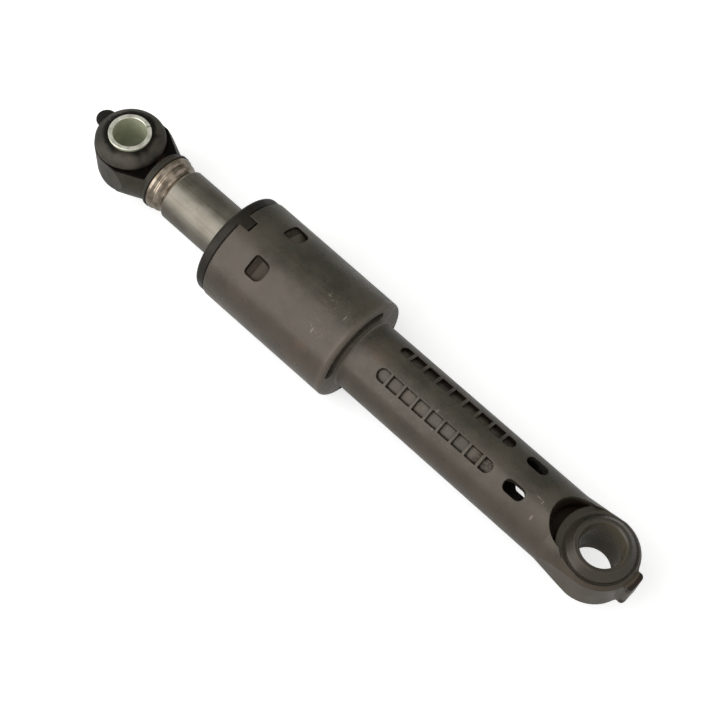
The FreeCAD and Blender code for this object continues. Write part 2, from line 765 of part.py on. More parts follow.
# Upper eye: a moulded ring with a conical neck and a spigot that the tube is rolled onto
upper_eye = new_body("upper_eye")
SPIGOT_RADIUS = "rod_radius - rod_wall - fit_gap"
CRIMP_RADIUS = SPIGOT_RADIUS + " - crimp_depth"
ROLL_RADIUS = SPIGOT_RADIUS + " - crimp_depth * 0.35"
COLLAR_RADIUS = "rod_radius + bead_height * 1.5"
CONE_START = "eye_spacing - upper_eye_radius - cone_reach"
CONE_END = "eye_spacing - upper_eye_radius / 3"
EYE_END = "eye_spacing + upper_cone_radius"
turned(upper_eye, "neck", [
    (TUBE_TOP + " - spigot_length", "0"),
    (TUBE_TOP + " - spigot_length", SPIGOT_RADIUS + " - spigot_lead / 2"),
    (TUBE_TOP + " - spigot_length + spigot_lead", SPIGOT_RADIUS),
    (TUBE_TOP + " - neck_length", SPIGOT_RADIUS),
    (TUBE_TOP + " - neck_length * 0.83", CRIMP_RADIUS),
    (TUBE_TOP + " - neck_length * 0.68", CRIMP_RADIUS),
    (TUBE_TOP + " - neck_length * 0.55", ROLL_RADIUS),
    (TUBE_TOP + " + fit_gap", ROLL_RADIUS),
    (TUBE_TOP + " + fit_gap", COLLAR_RADIUS),
    (TUBE_TOP + " + collar_length", COLLAR_RADIUS),
    (TUBE_TOP + " + collar_length + free_gap", "upper_neck_radius"),
    (CONE_START, "upper_neck_radius"),
    (CONE_END, "upper_cone_radius"),
    (EYE_END, "upper_cone_radius"),
    (EYE_END, "0"),
])
WALL = "eye_spacing - upper_eye_radius - slab_reach"
ring_plan = new_sketch(upper_eye, "XY_Plane", "ring_plan")
BEYOND = "eye_spacing + 2 * upper_cone_radius"
WIDE = "2 * upper_cone_radius"
bow = arc(ring_plan, "eye_spacing", "0", "upper_eye_radius", -90, 90)
spots = [
    ("eye_spacing", "upper_eye_radius"),
    (WALL, "upper_eye_radius"),
    (WALL, WIDE),
    (BEYOND, WIDE),
    (BEYOND, "-" + WIDE),
    (WALL, "-" + WIDE),
    (WALL, "-upper_eye_radius"),
    ("eye_spacing", "-upper_eye_radius"),
]
chain = []
for start, end in zip(spots, spots[1:]):
    chain.append(line(ring_plan, [number(part) for part in start],
                      [number(part) for part in end]))
for one, other in zip(chain, chain[1:]):
    join(ring_plan, one, 2, other, 1)
join(ring_plan, bow, 2, chain[0], 1)
join(ring_plan, bow, 1, chain[-1], 2)
for item, (across, up) in zip(chain, spots):
    if item is chain[0]:
        hold(ring_plan, "DistanceX", item, 1, across)
        continue
    pin(ring_plan, item, 1, across, up)
hold(ring_plan, "DistanceX", chain[-1], 2, "eye_spacing")
drawn(upper_eye, "ring_end", ring_plan, ACROSS, "Pocket")
for side, sign in (("upper", ""), ("lower", "-")):
    flat = new_sketch(upper_eye, "XY_Plane", side + "_flat_outline",
                      sign + "(upper_eye_height + upper_cone_radius)")
    rectangle(flat, WALL, BEYOND, "-" + WIDE, WIDE)
    drawn(upper_eye, side + "_flat", flat, "2 * upper_cone_radius", "Pocket")


def slab_edge(edge):
    """True for the long edges of the slab, round the eye and along its neck."""
    box = edge.BoundBox
    level = near(abs(box.ZMin), "upper_eye_height") and box.ZLength < 0.02
    return level and not near(box.XMax, WALL)


rounded(upper_eye, "slab_rounds", "upper_edge_round", slab_edge)
seat = new_sketch(upper_eye, "XY_Plane", "seat_outline")
disc(seat, "eye_spacing", "0", "bush_seat_radius")
drawn(upper_eye, "seat", seat, ACROSS, "Pocket")

# Rubber bush: snapped into the upper eye, with a domed flange on each side and a nub
rubber_bush = new_body("rubber_bush")
FLANGE_FOOT = "upper_eye_height + fit_gap"
FLANGE_TOP = "upper_eye_height + fit_gap + flange_height"
BUSH_BORE = "sleeve_radius + fit_gap"
half = [
    (BUSH_BORE, "dome_height"),
    ("sleeve_radius + dome_lip", "dome_height + dome_lip / 2"),
    ("dome_radius", "dome_height + dome_lip / 4"),
    ("dome_radius + dome_lip * 2", "dome_height - dome_lip / 2"),
    ("flange_radius - flange_round * 0.76", "dome_height - flange_round * 0.24"),
    ("flange_radius - flange_round * 0.44", "dome_height - flange_round * 0.44"),
    ("flange_radius - flange_round * 0.2", "dome_height - flange_round * 0.7"),
    ("flange_radius - flange_round * 0.04", "dome_height - flange_round"),
    ("flange_radius", FLANGE_TOP + " - flange_round * 0.2"),
    ("flange_radius", FLANGE_FOOT + " + flange_edge"),
    ("flange_radius - flange_edge", FLANGE_FOOT),
    ("bush_seat_radius - fit_gap", FLANGE_FOOT),
]
mirrored = [(radius, "-(" + height + ")") for radius, height in half[::-1]]
turned(rubber_bush, "bush", half + mirrored, about="Z")
nub = new_sketch(rubber_bush, "XY_Plane", "nub_outline",
                 "upper_eye_height + fit_gap + nub_height / 2")
disc(nub, "nub_place", "0", "nub_radius")
drawn(rubber_bush, "nub", nub, "nub_height")
hollow = new_sketch(rubber_bush, "XY_Plane", "bush_bore_outline")
disc(hollow, "0", "0", BUSH_BORE)
drawn(rubber_bush, "bush_bore", hollow, ACROSS, "Pocket")
bind(rubber_bush, "Placement.Base.x", "eye_spacing")

# Bush sleeve: rolled from steel strip, so that a fine seam runs down one side
bush_sleeve = new_body("bush_sleeve")
turned(bush_sleeve, "sleeve", [
    ("sleeve_radius - sleeve_wall", "-sleeve_half_length + sleeve_edge"),
    ("sleeve_radius - sleeve_wall + sleeve_edge", "-sleeve_half_length"),
    ("sleeve_radius - sleeve_edge", "-sleeve_half_length"),
    ("sleeve_radius", "-sleeve_half_length + sleeve_edge"),
    ("sleeve_radius", "sleeve_half_length - sleeve_edge"),
    ("sleeve_radius - sleeve_edge", "sleeve_half_length"),
    ("sleeve_radius - sleeve_wall + sleeve_edge", "sleeve_half_length"),
    ("sleeve_radius - sleeve_wall", "sleeve_half_length - sleeve_edge"),
], about="Z")
seam = new_sketch(bush_sleeve, "XY_Plane", "seam_outline")
rectangle(seam, "sleeve_radius / 2", "sleeve_radius * 2", "-sleeve_split / 2", "sleeve_split / 2")
drawn(bush_sleeve, "seam", seam, ACROSS, "Pocket")
bind(bush_sleeve, "Placement.Base.x", "eye_spacing")
bush_sleeve.Placement.Rotation = FreeCAD.Rotation(FreeCAD.Vector(0, 0, 1),
                                                  SIZES["sleeve_split_angle"])

# Every object is checked before anything is written
doc.recompute()
for item in doc.Objects:
    faults = [state for state in item.State if state in ("Invalid", "Error")]
    if faults:
        raise RuntimeError("%s failed: %s" % (item.Label, item.getStatusString()))
bodies = [item for item in doc.Objects if item.TypeId == "PartDesign::Body"]
os.makedirs("parts", exist_ok=True)
for body in bodies:
    shape = body.Shape
    if shape.isNull() or not shape.isValid() or len(shape.Solids) != 1:
        raise RuntimeError("%s is not one valid solid: %d" % (body.Label, len(shape.Solids)))
for body in bodies:
    body.Shape.exportStep("parts/%s.step" % body.Label)
    box = body.Shape.optimalBoundingBox(False, False)
    print("%-16s %9.1f mm3  x %.1f..%.1f  y %.1f..%.1f  z %.1f..%.1f" % (
        body.Label, body.Shape.Volume, box.XMin, box.XMax, box.YMin, box.YMax, box.ZMin, box.ZMax))
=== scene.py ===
# %% [markdown]
# # A washing machine shock absorber
# The solids of this damper were made in a CAD program, and they arrive here as a fixed frame.
# Blender adds what a solid doesn't have: the finish of each material, the soft rubber and foam
# pieces, the light and the camera. Nothing from the frame is moved or reshaped. A finish is put
# on it, or a new piece stands in for it.

# %% Load the frame
import math

import bmesh
import bpy
from mathutils import Matrix, Vector


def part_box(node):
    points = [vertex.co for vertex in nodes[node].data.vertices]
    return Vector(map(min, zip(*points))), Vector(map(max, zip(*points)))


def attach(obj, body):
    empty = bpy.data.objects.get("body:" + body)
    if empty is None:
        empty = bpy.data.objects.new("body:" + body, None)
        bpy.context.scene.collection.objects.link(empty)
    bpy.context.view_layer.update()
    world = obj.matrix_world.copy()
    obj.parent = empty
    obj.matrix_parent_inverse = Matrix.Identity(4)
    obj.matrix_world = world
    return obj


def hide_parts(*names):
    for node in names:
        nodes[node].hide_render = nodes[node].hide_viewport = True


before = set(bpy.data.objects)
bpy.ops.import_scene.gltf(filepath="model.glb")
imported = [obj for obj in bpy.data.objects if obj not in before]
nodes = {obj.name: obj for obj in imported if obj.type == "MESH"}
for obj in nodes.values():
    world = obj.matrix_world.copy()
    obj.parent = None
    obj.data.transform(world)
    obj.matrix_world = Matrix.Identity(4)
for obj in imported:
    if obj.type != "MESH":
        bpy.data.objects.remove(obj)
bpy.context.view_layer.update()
print("frame pieces:", ", ".join(sorted(nodes)))

# %% [markdown]
# ## Sizes that the finishes and pieces share
# All lengths are in metres, in the frame's own axes: +X runs along the damper from the centre of
# the lower eye to the upper eye, and +Z runs along both bores. Writing `12 * MM` keeps every
# number in the unit that a caliper reads, and `mm(1, 2, 3)` does the same for a whole point.

# %% Shared sizes
MM = 0.001
EYE_SPACING = 192.6 * MM
LOWER_BORE = 6.5 * MM
GUIDE_RADIUS = 11.8 * MM
BELL_START = 91.4 * MM
BELL_END = 141.4 * MM
BELL_RADIUS = 18 * MM
CAP_FACE = 145.4 * MM
NECK_START = 169.6 * MM


def mm(*lengths):
    """A point or a size in millimetres, as metres."""
    return tuple(length * MM for length in lengths)


print("bell from %.1f to %.1f mm, %.0f mm across"
      % (BELL_START / MM, BELL_END / MM, 2 * BELL_RADIUS / MM))

# %% [markdown]
# ## A helper for finishes
# Every finish is a node tree that starts from the Principled shader. Typing each node and link
# out would hide the idea behind the plumbing, so one small class keeps the tree and offers the
# few nodes that a maker thinks in: noise of a given grain size, a soft threshold, a coat of
# colour through a mask, a bump. Patterns read Object coordinates, which stay with a piece when
# it moves. A mask is a value from 0 to 1 that says where a coat lies and how strong it is.

# %% Helper class for finishes
class Finish:
    """A material under construction, with short calls that add its nodes."""

    def __init__(self, name, **sockets):
        self.material = bpy.data.materials.new(name)
        self.material.use_nodes = True
        self.tree = self.material.node_tree
        self.shader = self.tree.nodes["Principled BSDF"]
        for socket, value in sockets.items():
            self.shader.inputs[socket.replace("_", " ")].default_value = value
        self.place = self.node("ShaderNodeTexCoord").outputs["Object"]
        parts = self.node("ShaderNodeSeparateXYZ", {"Vector": self.place})
        self.x, self.y, self.z = parts.outputs
        self.colour = None

    def node(self, kind, inputs=None, **settings):
        """A new node. An input is either a value or another node's output to link."""
        made = self.tree.nodes.new(kind)
        for key, value in settings.items():
            setattr(made, key, value)
        for key, value in (inputs or {}).items():
            if isinstance(value, bpy.types.NodeSocket):
                self.tree.links.new(value, made.inputs[key])
            else:
                made.inputs[key].default_value = value
        return made

    def calc(self, operation, one, two=0.0):
        """A plain sum, product, power and so on."""
        return self.node("ShaderNodeMath", {0: one, 1: two}, operation=operation).outputs[0]

    def times(self, mask, *others):
        """Masks and strengths multiplied: full only where all of them are."""
        for other in others:
            mask = self.calc("MULTIPLY", mask, other)
        return mask

    def soft(self, value, low, high, to_low=0.0, to_high=1.0):
        """A smooth step: to_low below low, to_high above high."""
        return self.node("ShaderNodeMapRange", {
            "Value": value, "From Min": low, "From Max": high,
            "To Min": to_low, "To Max": to_high}, interpolation_type="SMOOTHSTEP").outputs[0]

    def noise(self, grain, detail, stretch=(1, 1, 1), shift=0.0, rough=0.5):
        """Noise whose blobs are about as wide as grain, drawn out along an axis by stretch.

        A shift moves the pattern, so that two noises on one piece don't look alike."""
        scale = [1 / (grain * factor) for factor in stretch]
        place = self.node("ShaderNodeMapping", {
            "Vector": self.place, "Scale": scale, "Location": (shift, shift, shift)})
        return self.node("ShaderNodeTexNoise", {
            "Vector": place.outputs[0], "Scale": 1.0, "Detail": detail,
            "Roughness": rough}).outputs["Fac"]

    def mix(self, factor, one, two):
        """One colour where factor is 0, the other where it is 1."""
        made = self.node("ShaderNodeMix", data_type="RGBA")
        for socket, value in ((0, factor), (6, one), (7, two)):
            if isinstance(value, bpy.types.NodeSocket):
                self.tree.links.new(value, made.inputs[socket])
            else:
                made.inputs[socket].default_value = value if socket == 0 else (*value[:3], 1)
        return made.outputs[2]

    def paint(self, mask, coat):
        """Lays a coat over the colour so far, as strongly as the mask says."""
        self.colour = self.mix(mask, self.colour, coat)

    def use(self, socket, value):
        """Feeds the shader."""
        self.tree.links.new(value, self.shader.inputs[socket])

    def edges(self, radius):
        """(a normal rounded over the edges, a mask of the edges)."""
        round_normal = self.node("ShaderNodeBevel", {"Radius": radius}, samples=6).outputs[0]
        true_normal = self.node("ShaderNodeNewGeometry").outputs["Normal"]
        match = self.node("ShaderNodeVectorMath", {0: round_normal, 1: true_normal},
                          operation="DOT_PRODUCT").outputs["Value"]
        return round_normal, self.soft(match, 0.995, 0.86)

    def bump(self, layers, normal=None):
        """Stacks bumps, each one a (value, height in metres)."""
        for value, height in layers:
            inputs = {"Height": value, "Distance": height}
            if normal is not None:
                inputs["Normal"] = normal
            normal = self.node("ShaderNodeBump", inputs).outputs[0]
        self.use("Normal", normal)

    def distance(self, weights, spot=(0, 0, 0)):
        """How far from a spot. Each axis counts by its weight, and 0 leaves it out."""
        away = self.node("ShaderNodeVectorMath", {0: self.place, 1: spot}, operation="SUBTRACT")
        part = self.node("ShaderNodeVectorMath", {0: away.outputs[0], 1: weights},
                         operation="MULTIPLY")
        length = self.node("ShaderNodeVectorMath", {0: part.outputs[0]}, operation="LENGTH")
        return length.outputs["Value"]

    def near(self, spot, size):
        """1 round a spot of the rest pose, fading to 0 at size from it along each axis."""
        return self.soft(self.distance([1 / part for part in size], spot), 1.0, 0.35)

    def put_on(self, node_names):
        """Puts the finish on frame pieces."""
        for name in node_names:
            slots = nodes[name].data.materials
            slots.clear()
            slots.append(self.material)
        print(self.material.name, "on", ", ".join(node_names))


print("finish helper ready")

# %% [markdown]
# ## A helper for colours
# A maker knows a colour as it shows on a screen, in three values from 0 to 255. A shader needs it
# as linear light, in which a grey of half the screen value is only about a fifth as bright. The
# numbers could be worked out beforehand, but a small function keeps them readable in the script.

# %% Helper for colours
def tint(red, green, blue):
    """Three screen values from 0 to 255, as the linear light that a shader needs."""
    return tuple(((part / 255 + 0.055) / 1.055) ** 2.4 for part in (red, green, blue))


print("a mid grey of 128 is %.3f in linear light" % tint(128, 128, 128)[0])

# %% [markdown]
# ## Glass-filled black plastic
# The housing, the cap and the upper eye are injection moulded from black plastic with short glass
# fibres. Up close such plastic isn't black: it is a brownish dark grey, warmer in some places,
# with faint streaks where the melt flowed along the mould, a fine grain, and pale rubbed edges.
# One function makes the family, because the pieces differ only in colour and use. The edges come
# from the Bevel node: the true normal is compared with one that is rounded over the edge, so
# rubbing sits on the edges of any mesh, and the light catches them as on a real moulding.
# Painted shade comes from two Ambient Occlusion nodes, which darken the colour wherever a wall
# stands close by, as shade falls there. One looks 0.9 mm far and finds the corners and seams. The
# other looks 5 mm far, and only at its own piece, so that the floor isn't taken for a wall: it
# finds the crescents and slots.

# %% Moulded plastic
# The colour of the painted shade in corners, seams and recesses.
SHADE_TINT = tint(28, 19, 13)
SHADE_MOST = 0.85
SEAM_REACH = 0.9 * MM
WALL_REACH = 5 * MM


def moulded(name, dark, light, roughness, rubbing=0.5, level=0.42, corner=0.35 * MM,
            depth=0.26):
    """A moulded plastic between two tones, with flow clouds, rubbed edges and grime.

    rubbing is how pale the edges are, level how much it mirrors, corner how wide its edges
    are rounded, and depth how closed in a wall has to be to take painted shade."""
    made = Finish(name, IOR=1.5, Specular_Tint=(1.0, 0.92, 0.83, 1.0))
    clouds = made.noise(11 * MM, 5.0, shift=2.0, rough=0.6)
    streaks = made.noise(1.1 * MM, 3.0, stretch=(4, 1, 1), shift=7.0)
    speckle = made.noise(0.4 * MM, 2.0, shift=4.0)
    tone = made.calc("ADD", made.times(clouds, 0.74),
                     made.calc("ADD", made.times(streaks, 0.12), made.times(speckle, 0.14)))
    made.colour = made.mix(made.soft(tone, 0.36, 0.64), dark, light)
    bloom = made.soft(made.noise(7 * MM, 4.0, shift=21.0, rough=0.6), 0.5, 0.68, 0.0, 0.35)
    made.paint(bloom, (light[0] * 1.25, light[1] * 1.08, light[2] * 0.98))
    made.normal, made.edge = made.edges(corner)
    uneven = made.soft(made.noise(1.3 * MM, 4.0, shift=9.0), 0.35, 0.7)
    pale = tuple(min(1, part * 2.2 + 0.02) for part in light)
    made.paint(made.times(made.edge, uneven, rubbing), pale)
    close = made.node("ShaderNodeAmbientOcclusion", {"Distance": SEAM_REACH}, samples=4)
    deep = made.node("ShaderNodeAmbientOcclusion", {"Distance": WALL_REACH}, samples=5,
                     only_local=True)
    # Painted shade: the colour darkens, and mirrors less, where walls stand close.
    made.grime = made.calc(
        "MAXIMUM", made.soft(close.outputs["AO"], 0.8, 0.42, 0.0, SHADE_MOST),
        made.soft(deep.outputs["AO"], depth + 0.24, depth, 0.0, SHADE_MOST))
    made.paint(made.grime, SHADE_TINT)
    made.level = made.soft(made.grime, 0.0, SHADE_MOST, level, level * 0.3)
    patch = made.noise(5 * MM, 5.0, shift=1.0, rough=0.6)
    made.gloss = made.soft(patch, 0.3, 0.7, roughness - 0.07, roughness + 0.09)
    made.grain = (made.noise(0.16 * MM, 2.0), 0.006 * MM)
    made.sink = (made.noise(9 * MM, 1.0, shift=5.0), 0.10 * MM)
    return made


def finish_moulded(made, node_names, layers=()):
    """Joins a moulded plastic to its shader and puts it on its pieces."""
    made.use("Base Color", made.colour)
    made.use("Specular IOR Level", made.level)
    made.use("Roughness", made.gloss)
    made.bump([made.sink, made.grain, *layers], made.normal)
    made.put_on(node_names)


print("grime within %.1f mm of a seam and %.0f mm of a wall" % (SEAM_REACH / MM, WALL_REACH / MM))

# %% [markdown]
# ## The housing's tone and parting line
# The housing is one long moulding. A warm, lighter coat fades in across it towards +Y: painted
# light on the side that faces the lamp. The mould opens along Z, so a fine parting line runs down
# each side where its two halves met. It could be a modelled ridge, but it is so low that a bump
# shows it as well and leaves the solid alone.

# %% Housing tone
PARTING_HEIGHT = 0.05 * MM
housing = moulded("aged_housing_plastic", tint(49, 48, 41), tint(70, 65, 56), roughness=0.3,
                  level=0.36)
# Painted light: a warmer, lighter coat on the +Y side, which faces the lamp.
housing.paint(housing.soft(housing.y, -3 * MM, 12 * MM, 0.0, 0.45), tint(72, 62, 54))
height = housing.calc("ABSOLUTE", housing.z)
outside = housing.soft(housing.calc("ABSOLUTE", housing.y), 10.4 * MM, 10.6 * MM)
parting = housing.times(housing.soft(height, 0.16 * MM, 0.04 * MM), outside)
print("parting line %.2f mm high" % (PARTING_HEIGHT / MM))

# %% [markdown]
# ## The housing's scuffs
# Handling has left pale scuffs near the bell's lower edge and along the ladder. A scuff is a lot
# of short strokes close together. They could be painted by hand on an image, but a stretched
# noise makes them on any mesh, and soft spots hold it to the places that get knocked. The bell's
# lower rim is rubbed all the way round, a little more where the strokes cross it.

# %% Housing scuffs
strokes = housing.noise(0.4 * MM, 5.0, stretch=(1, 3, 3), shift=3.0, rough=0.75)
strokes = housing.soft(strokes, 0.54, 0.70)
knock = housing.near(mm(101.5, 1.4, 17.5), mm(9, 5, 4))
low_knock = housing.near(mm(101.5, 9.8, 15), mm(7, 5, 4))
ladder = housing.near(mm(64, 6, 10), mm(34, 9, 7))
places = housing.calc("ADD", housing.calc("MAXIMUM", knock, low_knock),
                      housing.times(ladder, 0.5))
housing.paint(housing.times(strokes, places, 0.7), tint(138, 129, 118))
rim = housing.times(housing.soft(housing.x, BELL_START + 4 * MM, BELL_START + 1 * MM),
                    housing.soft(housing.x, BELL_START - 2 * MM, BELL_START),
                    housing.soft(strokes, 0.0, 1.0, 0.32, 0.65))
housing.paint(rim, tint(116, 108, 98))
print("scuffs on the bell, the ladder and the rim")

# %% [markdown]
# ## The finish round the lower eye
# The bolt has worn the bore to a paler brown, and dirt has dried in a ring on the face round it.
# Both follow the bore, so one measure serves them: the distance from the bore's axis, which
# leaves Z out. The lip beside the crescent gets a painted highlight: a pale coat on its edge,
# but not where painted shade lies. The eye's flank is made dull, so that it doesn't mirror the
# studio, and a lighter coat paints its sheen instead.

# %% Housing eye
from_bore = housing.distance((1, 1, 0))
bore = housing.soft(from_bore, LOWER_BORE + 0.25 * MM, LOWER_BORE + 0.05 * MM)
housing.paint(bore, tint(80, 72, 56))
face = housing.times(housing.soft(from_bore, 14 * MM, 12.5 * MM),
                     housing.soft(from_bore, 6.9 * MM, 7.3 * MM, 0.0, 0.55))
housing.paint(face, tint(40, 37, 31))
# Painted highlight: a pale coat along the lip's rounded edge.
lip_highlight = housing.times(housing.near(mm(11, 0, 8.5), mm(6, 14, 5)), housing.edge,
                    housing.soft(housing.grime, 0.0, 0.3, 0.55, 0.0))
housing.paint(lip_highlight, tint(124, 116, 104))
# Painted sheen: a lighter coat on the flank stands in for the reflection that its lowered level
# takes away.
flank_sheen = housing.times(housing.soft(from_bore, 10.8 * MM, 11.4 * MM),
                      housing.soft(housing.x, 9 * MM, 4 * MM, 0.0, 0.7))
housing.paint(flank_sheen, tint(82, 74, 63))
print("bore, face, lip and flank of the lower eye")

# %% [markdown]
# ## Painted shade in the crescents and slots
# The crescents beside the lower eye and the slots get a dark brown coat of painted shade. Their
# walls lie below the guide tube's skin, so the distance from the tube's axis, which leaves X out,
# finds them.
# In the slots noise breaks the painted shade up. Where it lies, and
# in the bore and on the flank, the specular level drops.

# %% Housing recess shade
from_tube_axis = housing.distance((0, 1, 1))
crescent = housing.times(
    housing.soft(from_tube_axis, GUIDE_RADIUS - 0.5 * MM, GUIDE_RADIUS - 1.6 * MM),
    housing.soft(height, 3.0 * MM, 3.4 * MM),
    housing.soft(from_bore, 12.6 * MM, 12.95 * MM),
    housing.soft(housing.x, 21 * MM, 19 * MM, 0.0, 0.9))
breakup = housing.noise(0.45 * MM, 3.0, shift=14.0, rough=0.6)
slots = housing.times(
    housing.soft(from_tube_axis, GUIDE_RADIUS - 0.2 * MM, GUIDE_RADIUS - 0.6 * MM),
    housing.soft(housing.x, 26 * MM, 28 * MM, 0.0, 0.85),
    housing.soft(housing.x, 44.5 * MM, 42.5 * MM),
    housing.soft(breakup, 0.4, 0.6, 0.3, 1.0))
# Painted shade: a dark brown coat in the crescents and slots.
recess_shade = housing.calc("MAXIMUM", crescent, slots)
housing.paint(recess_shade, tint(34, 25, 18))
dull = housing.calc("MAXIMUM", bore, housing.calc("MAXIMUM", flank_sheen, recess_shade))
housing.level = housing.times(housing.level, housing.soft(dull, 0.0, 1.0, 1.0, 0.35))
print("dirt in the crescents and the slots")

# %% [markdown]
# ## Single scratches and spots
# Last come the marks that sit in one place only: short pale scratches, and three reddish spots.
# Each is a soft spot with its own size along every axis, in millimetres, thin for a scratch and
# wide for a stain. A list keeps them together, so that one is easily moved, added or left out.

# %% Housing scratches and spots
scratches = [
    ((21.6, 2.3, 11.6), (1.5, 0.22, 1.5)), ((20.1, 2.7, 11.5), (0.28, 0.8, 1.5)),
    ((19.8, 7.5, 9.1), (0.5, 1.1, 1.4)), ((60.0, 2.8, 11.4), (0.35, 1.0, 1.2)),
    ((57.7, 7.2, 9.3), (0.35, 0.6, 1.2)), ((97.5, 2.6, 17.7), (0.3, 1.5, 1.2)),
    ((105.8, 0.3, 17.8), (0.9, 0.3, 1.2)), ((102.7, 10.8, 14.2), (0.4, 1.3, 1.4))]
red_spots = [
    ((37.8, 0.9, 11.8), (0.9, 0.45, 1)), ((83.6, 2.6, 11.5), (3.2, 2.2, 2)),
    ((103.2, 15.0, 9.6), (3.5, 2.5, 3))]
for marks, strength, coat in ((scratches, 0.5, tint(144, 135, 124)),
                              (red_spots, 0.4, tint(88, 68, 56))):
    for spot, size in marks:
        housing.paint(housing.times(housing.near(mm(*spot), mm(*size)), strength), coat)
print(len(scratches), "scratches and", len(red_spots), "spots")
finish_moulded(housing, ["housing"], [(parting, PARTING_HEIGHT)])

# %% [markdown]
# ## The cap
# The cap is a moulding of the same kind from another batch, blacker and duller than the bell
# that it snaps into. Its hooked arms show in the bell's windows: their panels are paler, and the
# catches at the windows' ends are painted darker and rough. Painted shade darkens the cap along
# the seam where cap and bell meet, except at the tongue. All of these lie at known places along
# X, so each one is a band between two soft steps, and no drawing has to be fitted to the piece.

# %% Cap finish
CAP_LEVEL = 0.2
WINDOW_END = BELL_END - 10.6 * MM
cap = moulded("cap_plastic_black", tint(20, 19, 15), tint(38, 35, 29), roughness=0.4,
              rubbing=0.4, level=CAP_LEVEL, depth=0.1)
panel = cap.times(cap.soft(cap.x, WINDOW_END, WINDOW_END - 0.6 * MM),
                  cap.soft(cap.grime, 0.3, 0.8, 1.0, 0.1))
cap.paint(panel, tint(76, 70, 61))
tongue = cap.near((BELL_END, 0, BELL_RADIUS - 0.3 * MM), mm(3, 3.4, 3))
# Painted shade along the seam between cap and bell, except at the tongue.
seam = cap.times(cap.soft(cap.x, BELL_END + 0.9 * MM, BELL_END + 0.5 * MM),
                 cap.soft(cap.x, BELL_END - 0.3 * MM, BELL_END),
                 cap.soft(tongue, 0.0, 0.5, 1.0, 0.0))
cap.paint(seam, tint(14, 11, 8))
# A darker, rougher band at the catches.
catch = cap.times(cap.soft(cap.x, WINDOW_END - 2.9 * MM, WINDOW_END - 2.3 * MM),
                  cap.soft(cap.x, WINDOW_END + 0.3 * MM, WINDOW_END - 0.1 * MM))
catch_mottle = cap.noise(0.5 * MM, 4.0, shift=11.0, rough=0.7)
cap.paint(cap.times(catch, cap.soft(catch_mottle, 0.3, 0.6, 0.6, 1.0)), tint(44, 38, 31))
cap.level = cap.soft(cap.calc("ADD", seam, catch), 0.0, 1.0, CAP_LEVEL, 0.06)
finish_moulded(cap, ["end_cap"], [(cap.times(catch, catch_mottle), 0.12 * MM)])

# %% [markdown]
# ## The upper eye and the inner plastic
# The upper eye is dark too. Its two flat faces beside the rubber flanges get painted shade,
# nearly black, the flanges' shadow, and they hardly shine; a spot of rust from the bolt has
# stained one of them. A band of height picks out the faces, and a noise lets the painted shade
# run thin in places. The cage, its closing ring and the guide ring sit inside, where nobody
# handles them, so they get the plain plastic.

# %% Upper eye and inner finishes
EYE_LEVEL = 0.2
HALF_EYE = 6 * MM
eye = moulded("upper_eye_plastic", tint(40, 39, 33), tint(56, 53, 45), roughness=0.42,
              rubbing=0.25, level=EYE_LEVEL, corner=0.9 * MM)
up = eye.calc("ABSOLUTE", eye.z)
flat_face = eye.times(eye.soft(up, HALF_EYE - 0.4 * MM, HALF_EYE - 0.1 * MM),
                      eye.soft(up, HALF_EYE + 1.0 * MM, HALF_EYE + 0.1 * MM),
                      eye.soft(eye.x, 178.7 * MM, 179.2 * MM))
blotch = eye.noise(1.6 * MM, 4.0, shift=12.0, rough=0.6)
# Painted shade: the flat faces beside the flanges are painted nearly black.
face_shade = eye.times(eye.soft(blotch, 0.28, 0.5, 0.85, 1.0), flat_face)
eye.paint(face_shade, tint(9, 8, 6))
eye.level = eye.soft(face_shade, 0.0, 1.0, EYE_LEVEL, 0.03)
flakes = eye.soft(eye.noise(0.6 * MM, 4.0, shift=13.0), 0.42, 0.62, 0.0, 0.8)
rust = eye.near(mm(180.6, -1.8, 6), mm(2.2, 2.6, 0.4))
eye.paint(eye.times(rust, flakes), tint(68, 47, 36))
finish_moulded(eye, ["upper_eye"])
inner = moulded("inner_nylon", tint(52, 52, 50), tint(74, 73, 70), roughness=0.46, rubbing=0.3)
finish_moulded(inner, ["lining_carrier", "carrier_ring", "rod_guide"])

# %% [markdown]
# ## The steel rod tube
# The tube is drawn steel, ground and then rubbed by the lining. Metal has no colour of its own in
# the shadow: nearly all of it is reflection, so the finish is mostly roughness. Fine grinding
# lines run round the tube, made by noise that is squeezed along X, and soft drawn streaks run
# along it. The rolled neck at the top is warmer and brighter. Where the tube meets the cap a ring
# of old grease darkens it, and a thin film of it covers the length that slides in the lining.

# %% Steel tube finish
tube = Finish("drawn_steel", Metallic=1.0)
cloud = tube.noise(6 * MM, 4.0, shift=6.0)
drawn = tube.noise(1.1 * MM, 4.0, stretch=(30, 1, 1), shift=3.0)
ground = tube.noise(0.09 * MM, 3.0, stretch=(1, 25, 25), shift=8.0)
stain = tube.noise(1.8 * MM, 5.0, stretch=(2.5, 1, 1), shift=17.0, rough=0.65)
tube.colour = tube.mix(tube.soft(cloud, 0.35, 0.68), tint(103, 99, 90), tint(117, 113, 104))
tube.paint(tube.soft(drawn, 0.46, 0.74, 0.0, 0.55), tint(84, 77, 68))
tube.paint(tube.soft(stain, 0.56, 0.72, 0.0, 0.5), tint(88, 80, 68))
neck = tube.soft(tube.x, NECK_START - 0.4 * MM, NECK_START + 0.6 * MM)
warm = tube.soft(tube.noise(2.6 * MM, 4.0, shift=15.0), 0.36, 0.68)
tube.paint(neck, tube.mix(warm, tint(146, 135, 121), tint(100, 90, 78)))
film = tube.times(tube.soft(tube.x, CAP_FACE + 2.6 * MM, CAP_FACE - 0.2 * MM),
                  tube.soft(cloud, 0.3, 0.6, 0.5, 0.9),
                  tube.soft(tube.x, CAP_FACE - 7 * MM, CAP_FACE - 3 * MM, 0.2, 1.0))
tube.paint(film, tint(54, 48, 41))
tube.use("Base Color", tube.colour)
